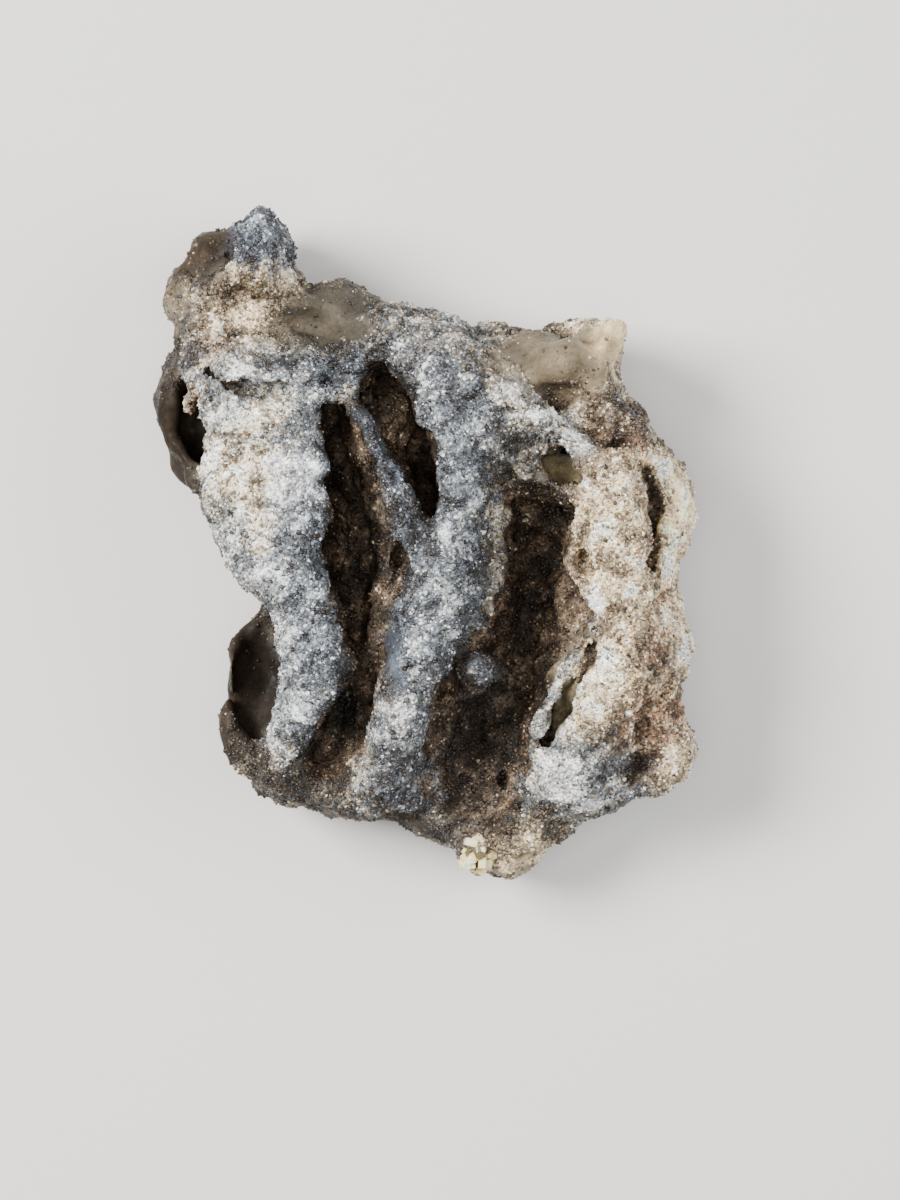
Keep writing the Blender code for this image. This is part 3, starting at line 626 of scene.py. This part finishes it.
def zone_shares(points):
    """For each point, how much of each kind of sand lies there: one column for each kind."""
    kinds = list(SANDS)
    shares = np.zeros((len(points), len(kinds)))
    shares[:, 0] = 0.30
    for kind, x, y, half_x, half_y, strength, *ceiling in ZONES:
        away = ((points[:, 0] - x) / half_x) ** 2 + ((points[:, 1] - y) / half_y) ** 2
        share = strength * np.clip((points[:, 2] - 4) / 6, 0.08, 1) * np.exp(-1.2 * away)
        if ceiling:
            share *= np.clip((ceiling[0] - points[:, 2]) / 2, 0, 1)
        shares[:, kinds.index(kind)] += share
    return shares / shares.sum(axis=1)[:, None]


def stain_and_shade(points, shelter, wander):
    """0 on clean glass, 1 where the hollows turn dark brown: partly iron staining, partly painted
    shade, with more of it lower down.
    """
    depth = np.clip((20.5 - points[:, 2]) / 5.0, 0, 1)
    ragged = 0.10 * wander[:, 0] + 0.16 * swirl(points, 0.9, 10)
    return np.clip((shelter * (0.55 + 0.75 * depth) + ragged - 0.24) / 0.34, 0, 1)


# The dark brown of the sheltered spots: partly iron staining, partly painted shade.
STAIN_AND_SHADE = np.array((0.058, 0.040, 0.026))
ZONE_WANDER = 1.4
PATCHES = (
    # size, seed, contrast
    (5.0, 12, 0.9), (2.2, 8, 1.7), (1.0, 9, 1.2), (0.5, 11, 0.9),
)
PALEST = 0.95

skin_at = read(body.data, "co") / MM
shares = zone_shares(skin_at + ZONE_WANDER * wander)
# The sheltered and low spots take the dark brown here: partly iron staining, partly painted shade.
stain_and_shade_share = smoothed(body.data, stain_and_shade(skin_at, shelter, wander), 2) * (1 - 0.8 * glassy)
tone = shares @ np.array(list(SANDS.values()))
tone = tone * (1 - stain_and_shade_share)[:, None] + np.minimum(STAIN_AND_SHADE, tone) * stain_and_shade_share[:, None]
patchy = sum(contrast * swirl(skin_at, size, seed) for size, seed, contrast in PATCHES)
tone *= np.exp(patchy * (1 - 0.75 * glassy))[:, None]
# Pinholes lose three quarters of their tone: painted shade in the small holes.
tone = (tone * (1 - 0.75 * pinholes)[:, None]).clip(0.0, PALEST)


def write(mesh, name, values):
    """Stores a number or a colour for each vertex, under a name that a material can read."""
    if values.ndim == 1:
        mesh.attributes.new(name, "FLOAT", "POINT").data.foreach_set("value", values)
    else:
        colours = np.column_stack([values, np.ones(len(values))]).astype(np.float32)
        mesh.attributes.new(name, "FLOAT_COLOR", "POINT").data.foreach_set("color", colours.ravel())


write(body.data, "tone", tone)
write(body.data, "glassy", glassy)
print("stained share of the skin:", round(float(stain_and_shade_share.mean()), 2))

# %% [markdown]
# ## The fused sand's material
# Close up, fused sand is a mosaic: every grain has its own shade, from clear grey to milky
# white, and a few are nearly black. Voronoi cells the size of a grain give each its shade, and
# the zones' tone multiplies it. The same cells lift the surface as bump. On the glassy patches
# both fade away and the roughness drops.

# %% Material of the body
GRAIN = 0.27 * MM


def fused_sand_material():
    material = bpy.data.materials.new("fused sand")
    material.use_nodes = True
    tree = material.node_tree
    shader = tree.nodes["Principled BSDF"]

    def node(kind, **settings):
        made = tree.nodes.new(kind)
        for name, value in settings.items():
            setattr(made, name, value)
        return made

    def link(output, target):
        tree.links.new(output, target)

    def maths(operation, a, b):
        made = node("ShaderNodeMath", operation=operation)
        for socket, value in zip(made.inputs, (a, b)):
            if isinstance(value, (int, float)):
                socket.default_value = value
            else:
                link(value, socket)
        return made.outputs["Value"]

    def ramp(factor, *stops):
        made = node("ShaderNodeValToRGB")
        link(factor, made.inputs["Fac"])
        elements = made.color_ramp.elements
        while len(elements) < len(stops):
            elements.new(0.5)
        for element, (place, grey) in zip(elements, stops):
            element.position = place
            element.color = (grey, grey, grey, 1.0)
        return made.outputs["Color"]

    place = node("ShaderNodeTexCoord").outputs["Object"]
    tone = node("ShaderNodeAttribute", attribute_name="tone").outputs["Color"]
    glassy = node("ShaderNodeAttribute", attribute_name="glassy").outputs["Fac"]

    cells = node("ShaderNodeTexVoronoi", feature="F1")
    cells.inputs["Scale"].default_value = 1 / GRAIN
    link(place, cells.inputs["Vector"])
    draw = node("ShaderNodeSeparateColor")
    link(cells.outputs["Color"], draw.inputs["Color"])
    shades = ramp(
        draw.outputs["Red"], (0.0, 0.12), (0.14, 0.34), (0.45, 0.72), (0.80, 1.0), (1.0, 1.0)
    )
    fine = node("ShaderNodeTexNoise")
    fine.inputs["Scale"].default_value = 1 / (0.30 * MM)
    fine.inputs["Detail"].default_value = 4.0
    link(place, fine.inputs["Vector"])
    mottle = ramp(fine.outputs["Fac"], (0.30, 0.45), (0.62, 1.0))

    grainy = node("ShaderNodeMix", data_type="RGBA", blend_type="MULTIPLY")
    grainy.inputs["Factor"].default_value = 1.0
    link(shades, grainy.inputs["A"])
    link(mottle, grainy.inputs["B"])
    calm = node("ShaderNodeMix", data_type="RGBA")
    link(maths("MULTIPLY", glassy, 0.75), calm.inputs["Factor"])
    link(grainy.outputs["Result"], calm.inputs["A"])
    calm.inputs["B"].default_value = (0.62, 0.62, 0.62, 1.0)
    bright = node("ShaderNodeVectorMath", operation="SCALE")
    bright.inputs["Scale"].default_value = 1.75
    link(calm.outputs["Result"], bright.inputs[0])
    colour = node("ShaderNodeMix", data_type="RGBA", blend_type="MULTIPLY")
    colour.inputs["Factor"].default_value = 1.0
    link(bright.outputs["Vector"], colour.inputs["A"])
    link(tone, colour.inputs["B"])
    link(colour.outputs["Result"], shader.inputs["Base Color"])

    uneven = maths("MULTIPLY", maths("SUBTRACT", draw.outputs["Green"], 0.5), 0.35)
    dullness = maths("SUBTRACT", 0.62, maths("MULTIPLY", glassy, 0.18))
    dullness = maths("ADD", dullness, uneven)
    link(dullness, shader.inputs["Roughness"])
    link(maths("SUBTRACT", 0.22, maths("MULTIPLY", glassy, 0.17)), shader.inputs["Specular IOR Level"])

    height = maths("ADD", maths("MULTIPLY", cells.outputs["Distance"], -0.6), fine.outputs["Fac"])
    bump = node("ShaderNodeBump")
    bump.inputs["Distance"].default_value = 0.14 * MM
    link(maths("SUBTRACT", 1.0, maths("MULTIPLY", glassy, 0.85)), bump.inputs["Strength"])
    link(height, bump.inputs["Height"])
    link(bump.outputs["Normal"], shader.inputs["Normal"])
    return material


body.data.materials.clear()
body.data.materials.append(fused_sand_material())
body.data.shade_smooth()
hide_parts("fulgurite")
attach(body, "root")

# %% [markdown]
# ## Sand grains
# The grains that stick out of the melt give the surface its sparkle, and no bump can stand in
# for them at the edges. A grain is a chip with eight faces knocked out of true, and six such
# shapes are enough. Numpy turns, scales and copies them onto the skin, and each shade of grain is
# joined into pieces with one plain material.

# %% Grain shapes
def chip(knocks):
    """Corners and triangles of one angular grain about 1 across."""
    bm = bmesh.new()
    bmesh.ops.create_uvsphere(bm, u_segments=4, v_segments=2, radius=0.6)
    for corner in bm.verts:
        corner.co *= knocks.uniform(0.75, 1.2)
        corner.co += Vector([knocks.uniform(-0.12, 0.12) for _ in range(3)])
    corners = np.array([v.co for v in bm.verts])
    triangles = np.array([[v.index for v in f.verts] for f in bm.faces])
    bm.free()
    return corners, triangles


knocks = random.Random(9)
SHAPES = [chip(knocks) for _ in range(6)]
print("one grain:", len(SHAPES[0][1]), "triangles")

# %% [markdown]
# Where the grains go. A face gets grains in step with its area, with more on open ridges and
# hardly any on bare glass or deep in the bores, where nobody looks.

# %% Scatter the grains
GRAINS = 94000

draws = np.random.default_rng(12)
mesh = body.data
mesh.calc_loop_triangles()
corners = np.empty(len(mesh.loop_triangles) * 3, np.int32)
mesh.loop_triangles.foreach_get("vertices", corners)
corners = corners.reshape(-1, 3)
a, b, c = skin_at[corners[:, 0]], skin_at[corners[:, 1]], skin_at[corners[:, 2]]
cross = np.cross(b - a, c - a)
area = np.linalg.norm(cross, axis=1) / 2
open_share = 1 - shelter[corners].mean(axis=1)
bare = glassy[corners].mean(axis=1)
front = np.clip(cross[:, 2] / (2 * area + 1e-9), 0, 1)
wish = area * (0.25 + open_share) * (1 - 0.95 * bare) * (0.30 + front)
wish *= np.where(open_share < 0.12, 0.10, 1.0) * (a[:, 2] > 0.8)
chosen = draws.choice(len(wish), GRAINS, p=wish / wish.sum())
u, v = draws.random(GRAINS), draws.random(GRAINS)
fold = u + v > 1
u[fold], v[fold] = 1 - u[fold], 1 - v[fold]
seats = a[chosen] + u[:, None] * (b - a)[chosen] + v[:, None] * (c - a)[chosen]
outward = cross[chosen] / (2 * area[chosen, None])
print("grains per square centimetre of skin:", round(GRAINS / area.sum() * 100))

# %% [markdown]
# Which shade a grain takes. Real grains scatter about the colour of the sand around them: most
# are close to it, some are clear or milky, a few are black. So each grain wishes for the tone
# under it, made brighter or darker by a draw, and takes the shade that comes nearest.

# %% Choose each grain's shade
SHADES = {
    # colour, roughness
    "milky_grains": ((0.82, 0.82, 0.79), 0.22),
    "ivory_grains": ((0.92, 0.76, 0.53), 0.32),
    "honey_grains": ((0.80, 0.61, 0.37), 0.34),
    "pearl_grains": ((0.56, 0.57, 0.56), 0.14),
    "cream_grains": ((0.68, 0.56, 0.40), 0.34),
    "sandy_grains": ((0.46, 0.38, 0.28), 0.30),
    "smoke_grains": ((0.31, 0.33, 0.34), 0.12),
    "slate_grains": ((0.155, 0.175, 0.20), 0.12),
    "charcoal_grains": ((0.088, 0.096, 0.110), 0.12),
    "khaki_grains": ((0.20, 0.165, 0.12), 0.28),
    "toffee_grains": ((0.160, 0.112, 0.072), 0.30),
    "rusty_grains": ((0.26, 0.135, 0.078), 0.36),
    "black_grains": ((0.040, 0.040, 0.046), 0.20),
    "brown_grains": ((0.085, 0.055, 0.032), 0.30),
    "umber_grains": ((0.026, 0.017, 0.011), 0.34),
}
SPREAD = 0.85
TINT = 0.05

# The tone under a grain includes the dark brown of the hollows and the painted shade, so grains there
# take dark shades too.
under = tone[corners[chosen, 0]].clip(0.004, 1.0)
wished = np.log(under) + draws.normal(-0.1, SPREAD, GRAINS)[:, None]
wished += draws.normal(0.0, TINT, (GRAINS, 3))
palette = np.log(np.array([colour for colour, _ in SHADES.values()]))
apart = np.linalg.norm(wished[:, None, :] - palette[None, :, :], axis=2)
shade_of = apart.argmin(axis=1)
print("grains per shade:", np.bincount(shade_of, minlength=len(SHADES)))

# %% [markdown]
# Copying a shape a thousand times is one product of arrays: its corners, scaled and turned by
# each grain's own matrix, plus the grain's seat. The seat is a little below the skin, so that
# the melt holds the grain.

# %% Stamp the grains
MOST_IN_ONE = 24000             # grains in one piece
SMALLEST, LARGEST = 0.13, 0.58  # a grain's width


def turns(count):
    """Random rotation matrices, from random unit quaternions."""
    quaternions = draws.normal(size=(count, 4))
    w, x, y, z = quaternions.T / np.linalg.norm(quaternions, axis=1)
    return np.stack([
        np.stack([1 - 2 * (y * y + z * z), 2 * (x * y - z * w), 2 * (x * z + y * w)], -1),
        np.stack([2 * (x * y + z * w), 1 - 2 * (x * x + z * z), 2 * (y * z - x * w)], -1),
        np.stack([2 * (x * z - y * w), 2 * (y * z + x * w), 1 - 2 * (x * x + y * y)], -1),
    ], 1)


def grain_piece(name, seats, outward):
    """Every grain as one joined mesh."""
    width = draws.gamma(6.0, 0.044, len(seats)).clip(SMALLEST, LARGEST)
    stretch = draws.uniform(0.75, 1.3, (len(seats), 3)) * width[:, None]
    turned = turns(len(seats))
    sunk = seats + outward * (width * draws.uniform(-0.34, 0.06, len(seats)))[:, None]
    points, triangles, used = [], [], 0
    for index, (corners, faces) in enumerate(SHAPES):
        mine = np.arange(len(seats)) % len(SHAPES) == index
        local = corners[None, :, :] * stretch[mine][:, None, :]
        placed = np.einsum("nij,nkj->nki", turned[mine], local) + sunk[mine][:, None, :]
        placed[:, :, 2] = np.maximum(placed[:, :, 2], 0.02)
        steps = used + len(corners) * np.arange(mine.sum())
        points.append(placed.reshape(-1, 3))
        triangles.append((faces[None, :, :] + steps[:, None, None]).reshape(-1, 3))
        used += len(corners) * int(mine.sum())
    points, triangles = np.vstack(points) * MM, np.vstack(triangles)
    made = bpy.data.meshes.new(name)
    made.vertices.add(len(points))
    made.vertices.foreach_set("co", points.astype(np.float32).ravel())
    made.loops.add(triangles.size)
    made.loops.foreach_set("vertex_index", triangles.astype(np.int32).ravel())
    made.polygons.add(len(triangles))
    made.polygons.foreach_set("loop_start", np.arange(0, triangles.size, 3, dtype=np.int32))
    made.update(calc_edges=True)
    made.validate()
    piece = bpy.data.objects.new(name, made)
    bpy.context.scene.collection.objects.link(piece)
    return piece


for index, (name, (colour, roughness)) in enumerate(SHADES.items()):
    finish = plain_material(name.replace("_", " "), colour, roughness, IOR=1.46)
    mine = np.flatnonzero(shade_of == index)
    for part, first in enumerate(range(0, len(mine), MOST_IN_ONE)):
        few = mine[first:first + MOST_IN_ONE]
        grains = grain_piece(f"{name}_{part + 1}", seats[few], outward[few])
        grains.data.materials.append(finish)
        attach(grains, "root")
        print(grains.name, len(grains.data.polygons), "triangles")

# %% [markdown]
# ## Crystals at the lower tip
# A cluster of yellow-cream crystals is fused to the lowest point. They are coarser and squarer
# than the sand. Each is a cube with bevelled edges, stretched and turned at random, and seated
# at random in the shell of a small ellipsoid.

# %% Crystals
CLUSTER = (4.9, -28.9, 11.2)
CLUSTER_HALF = (1.5, 1.7, 2.6)
CRYSTAL_SHADES = {
    "cream_crystals": ((0.78, 0.64, 0.32), 56),
    "pale_crystals": ((0.88, 0.82, 0.58), 26),
    "dark_crystals": ((0.16, 0.12, 0.05), 26),
}
crystal_draws = random.Random(31)


def direction():
    return Vector([crystal_draws.gauss(0, 1) for _ in range(3)]).normalized()


for name, (colour, count) in CRYSTAL_SHADES.items():
    bm = bmesh.new()
    for _ in range(count):
        way = direction()
        seat = Vector([c + h * w for c, h, w in zip(CLUSTER, CLUSTER_HALF, way)])
        width = crystal_draws.uniform(0.40, 1.0)
        place = Matrix.Translation(seat * MM)
        turned = Matrix.Rotation(crystal_draws.uniform(0, math.tau), 4, direction())
        sides = [width * MM * crystal_draws.uniform(0.6, 1.2) for _ in range(3)]
        size = Matrix.Diagonal([*sides, 1.0])
        cube = bmesh.ops.create_cube(bm, size=1.0, matrix=place @ turned @ size)
        edges = list({edge for corner in cube["verts"] for edge in corner.link_edges})
        bmesh.ops.bevel(bm, geom=edges, offset=0.10 * width * MM, offset_type="OFFSET", segments=1,
                        profile=0.5, affect="EDGES", material=-1)
    crystals = new_piece(name, bm)
    crystals.data.materials.append(plain_material(name.replace("_", " "), colour, 0.24, IOR=1.5))
    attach(crystals, "root")
    print(name, len(crystals.data.polygons), "faces")
